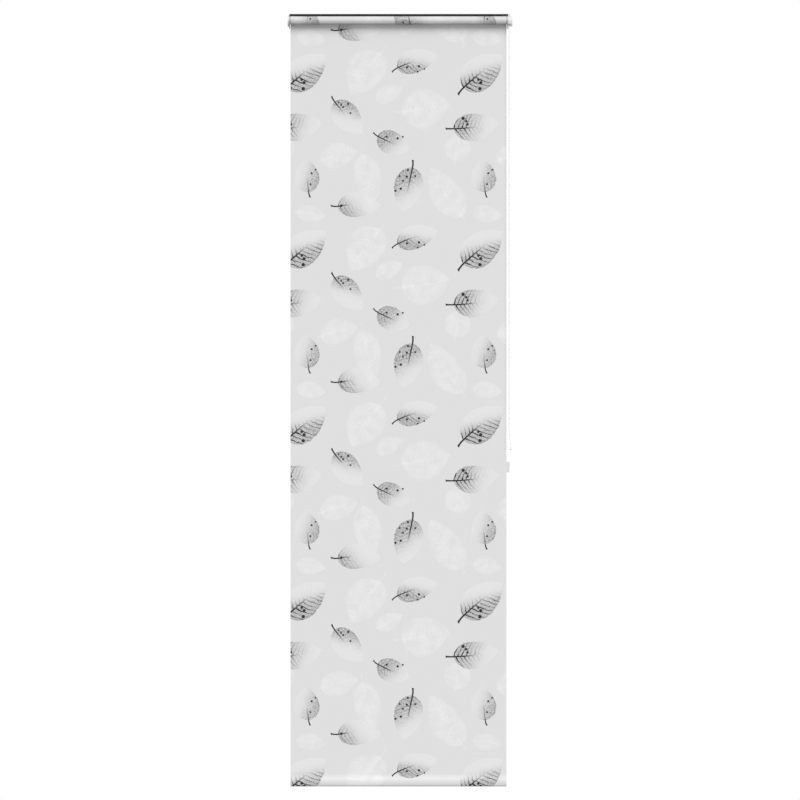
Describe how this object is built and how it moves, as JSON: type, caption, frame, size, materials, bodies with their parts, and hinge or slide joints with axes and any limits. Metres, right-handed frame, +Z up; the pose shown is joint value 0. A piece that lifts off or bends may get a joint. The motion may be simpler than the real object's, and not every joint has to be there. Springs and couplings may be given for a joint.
{
  "type": "shower roller blind with half-cassette head rail",
  "caption": "Leaf-patterned cloth hanging straight from a roller under a slim ceiling rail, with a weighted hem and a bead chain at one side.",
  "frame": {"origin": "in the head rail's top face, which lies against the ceiling, above the roller's axis and midway along the cloth", "axes": "+Z up out of the rail's top face, +X to the right of someone facing the blind, towards the bead chain, +Y towards the wall"},
  "size_m": [0.6978, 0.0425, 2.4],
  "materials": {
    "rail": "satin black",
    "cap": "moulded satin white",
    "wheel": "moulded satin white",
    "tube": "mill finish",
    "plug": "moulded grey",
    "cloth": "coated fine weave, grey ground with pale and dark leaves",
    "bar": "extruded white",
    "chain": "moulded white beads",
    "label": "plain woven ribbon"
  },
  "bodies": {
    "root": {"head_rail": "rail", "end_cap_left": "cap", "end_cap_right": "cap", "roller_tube": "tube", "idle_plug": "plug", "drive_plug": "plug", "chain_wheel": "wheel", "cloth": "cloth", "hem_bar": "bar", "side_label": "label", "bead_chain": "chain"}
  },
  "joints": []
}
